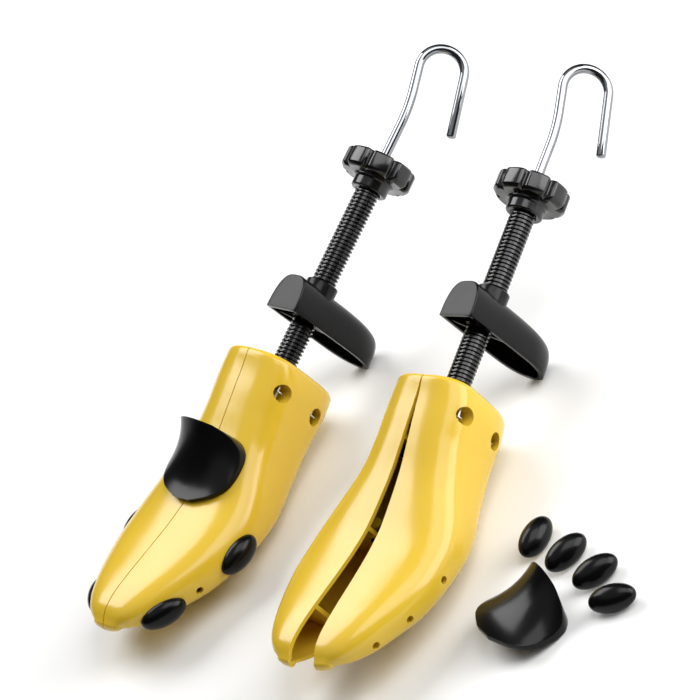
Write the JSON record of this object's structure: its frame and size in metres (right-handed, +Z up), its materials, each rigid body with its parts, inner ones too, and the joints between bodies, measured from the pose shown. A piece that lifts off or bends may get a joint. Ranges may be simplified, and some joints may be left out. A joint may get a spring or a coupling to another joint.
{
  "type": "shoe stretcher",
  "caption": "Two-way shoe stretchers: split bodies spread by a hook-driven wedge, a lobed knob moves the heel piece, with oval bumps and an instep pad.",
  "frame": {"origin": "under the middle of the set's box, on the floor it lies on", "axes": "+Z up from the floor, +Y from the toes towards the knobs and hooks, +X from the closed stretcher towards the spread one"},
  "size_m": [0.336, 0.3888, 0.1041],
  "materials": {
    "yellow_plastic": "glossy moulded shell",
    "black_plastic": "glossy moulded",
    "chromed_steel": "bright plated",
    "dark_steel": "blued"
  },
  "bodies": {
    "a_core": {"a_thrust_block": "black_plastic", "a_upper_spring": "chromed_steel", "a_lower_spring": "chromed_steel"},
    "a_hook": {"a_hook_rod": "chromed_steel", "a_rod_clip": "dark_steel"},
    "a_wedge": {"a_wedge_nut": "black_plastic"},
    "a_length_screw": {"a_spindle": "black_plastic", "a_length_knob": "black_plastic"},
    "a_heel": {"a_heel_piece": "black_plastic"},
    "a_right_half": {"a_right_shell": "yellow_plastic", "a_upper_right_spring_pin": "chromed_steel", "a_lower_right_spring_pin": "chromed_steel"},
    "a_left_half": {"a_left_shell": "yellow_plastic", "a_upper_left_spring_pin": "chromed_steel", "a_lower_left_spring_pin": "chromed_steel"},
    "b_core": {"b_thrust_block": "black_plastic", "b_upper_spring": "chromed_steel", "b_lower_spring": "chromed_steel"},
    "b_hook": {"b_hook_rod": "chromed_steel", "b_rod_clip": "dark_steel"},
    "b_wedge": {"b_wedge_nut": "black_plastic"},
    "b_length_screw": {"b_spindle": "black_plastic", "b_length_knob": "black_plastic"},
    "b_heel": {"b_heel_piece": "black_plastic"},
    "b_right_half": {"b_right_shell": "yellow_plastic", "b_upper_right_spring_pin": "chromed_steel", "b_lower_right_spring_pin": "chromed_steel"},
    "b_left_half": {"b_left_shell": "yellow_plastic", "b_upper_left_spring_pin": "chromed_steel", "b_lower_left_spring_pin": "chromed_steel"},
    "a_instep": {"a_instep_pad": "black_plastic"},
    "a_right_rear_bump": {"a_right_rear_bump": "black_plastic"},
    "a_right_front_bump": {"a_right_front_bump": "black_plastic"},
    "a_left_rear_bump": {"a_left_rear_bump": "black_plastic"},
    "a_left_front_bump": {"a_left_front_bump": "black_plastic"},
    "loose_bump_1": {"loose_bump_1": "black_plastic"},
    "loose_bump_2": {"loose_bump_2": "black_plastic"},
    "loose_bump_3": {"loose_bump_3": "black_plastic"},
    "loose_bump_4": {"loose_bump_4": "black_plastic"},
    "loose_instep": {"loose_instep_pad": "black_plastic"}
  },
  "joints": [
    {"name": "a_hook_turn", "type": "hinge", "parent": "a_core", "child": "a_hook", "pos_m": [-0.12056, -0.01669, 0.04445], "axis": [0, -0.9619, -0.2736], "range_deg": [0, 2880]},
    {"name": "a_wedge_slide", "type": "slide", "parent": "a_core", "child": "a_wedge", "axis": [0, 0.9619, 0.2736], "range_m": [0, 0.02405]},
    {"name": "a_right_hinge", "type": "hinge", "parent": "a_core", "child": "a_right_half", "pos_m": [-0.12056, -0.01669, 0.04445], "axis": [0, -0.2736, 0.9619], "range_deg": [0, 4.51]},
    {"name": "a_left_hinge", "type": "hinge", "parent": "a_core", "child": "a_left_half", "pos_m": [-0.12056, -0.01669, 0.04445], "axis": [0, 0.2736, -0.9619], "range_deg": [0, 4.51]},
    {"name": "a_knob_turn", "type": "hinge", "parent": "a_core", "child": "a_length_screw", "pos_m": [-0.12056, -0.01669, 0.04445], "axis": [0, -0.9619, -0.2736], "range_deg": [-2880, 5760]},
    {"name": "a_heel_slide", "type": "slide", "parent": "a_core", "child": "a_heel", "axis": [0, 0.9619, 0.2736], "range_m": [-0.01845, 0.03685]},
    {"name": "b_hook_turn", "type": "hinge", "parent": "b_core", "child": "b_hook", "pos_m": [0.00524, -0.00749, 0.04275], "axis": [0.1315, -0.9602, -0.2462], "range_deg": [-1800, 1080]},
    {"name": "b_wedge_slide", "type": "slide", "parent": "b_core", "child": "b_wedge", "axis": [-0.1315, 0.9602, 0.2462], "range_m": [-0.01505, 0.00905]},
    {"name": "b_right_hinge", "type": "hinge", "parent": "b_core", "child": "b_right_half", "pos_m": [0.00524, -0.00749, 0.04275], "axis": [0.0334, -0.244, 0.9692], "range_deg": [-2.82, 1.7]},
    {"name": "b_left_hinge", "type": "hinge", "parent": "b_core", "child": "b_left_half", "pos_m": [0.00524, -0.00749, 0.04275], "axis": [-0.0334, 0.244, -0.9692], "range_deg": [-2.82, 1.7]},
    {"name": "b_knob_turn", "type": "hinge", "parent": "b_core", "child": "b_length_screw", "pos_m": [0.00524, -0.00749, 0.04275], "axis": [0.1315, -0.9602, -0.2462], "range_deg": [-4320, 4320]},
    {"name": "b_heel_slide", "type": "slide", "parent": "b_core", "child": "b_heel", "axis": [-0.1315, 0.9602, 0.2462], "range_m": [-0.02765, 0.02765]},
    {"name": "a_instep_lift", "type": "slide", "parent": "a_core", "child": "a_instep", "axis": [0, -0.2736, 0.9619], "range_m": [0, 0.00605]},
    {"name": "a_right_rear_bump_pull", "type": "slide", "parent": "a_right_half", "child": "a_right_rear_bump", "axis": [0.9978, -0.0641, -0.0184], "range_m": [0, 0.0124]},
    {"name": "a_right_front_bump_pull", "type": "slide", "parent": "a_right_half", "child": "a_right_front_bump", "axis": [0.8728, -0.4693, -0.1338], "range_m": [0, 0.0124]},
    {"name": "a_left_rear_bump_pull", "type": "slide", "parent": "a_left_half", "child": "a_left_rear_bump", "axis": [-0.9978, -0.0641, -0.0184], "range_m": [0, 0.0124]},
    {"name": "a_left_front_bump_pull", "type": "slide", "parent": "a_left_half", "child": "a_left_front_bump", "axis": [-0.8728, -0.4693, -0.1338], "range_m": [0, 0.0124]},
    {"name": "b_lift", "type": "slide", "parent": "a_core", "child": "b_core", "axis": [0, 0, 1], "range_m": [0, 0.1]},
    {"name": "loose_bump_1_lift", "type": "slide", "parent": "a_core", "child": "loose_bump_1", "axis": [0, 0, 1], "range_m": [0, 0.05]},
    {"name": "loose_bump_2_lift", "type": "slide", "parent": "a_core", "child": "loose_bump_2", "axis": [0, 0, 1], "range_m": [0, 0.05]},
    {"name": "loose_bump_3_lift", "type": "slide", "parent": "a_core", "child": "loose_bump_3", "axis": [0, 0, 1], "range_m": [0, 0.05]},
    {"name": "loose_bump_4_lift", "type": "slide", "parent": "a_core", "child": "loose_bump_4", "axis": [0, 0, 1], "range_m": [0, 0.05]},
    {"name": "loose_instep_lift", "type": "slide", "parent": "a_core", "child": "loose_instep", "axis": [0, 0, 1], "range_m": [0, 0.05]}
  ],
  "couplings": [
    {"joint": "a_wedge_slide", "follows": "a_hook_turn", "m_per_rad": 0.00047746},
    {"joint": "a_right_hinge", "follows": "a_hook_turn", "ratio": 0.0015625},
    {"joint": "a_left_hinge", "follows": "a_hook_turn", "ratio": 0.0015625},
    {"joint": "a_heel_slide", "follows": "a_knob_turn", "m_per_rad": 0.00036606},
    {"joint": "b_wedge_slide", "follows": "b_hook_turn", "m_per_rad": 0.00047746},
    {"joint": "b_right_hinge", "follows": "b_hook_turn", "ratio": 0.0015625},
    {"joint": "b_left_hinge", "follows": "b_hook_turn", "ratio": 0.0015625},
    {"joint": "b_heel_slide", "follows": "b_knob_turn", "m_per_rad": 0.00036606},
    {"joint": "a_instep_lift", "follows": "a_hook_turn", "m_per_rad": 0.00011937}
  ]
}
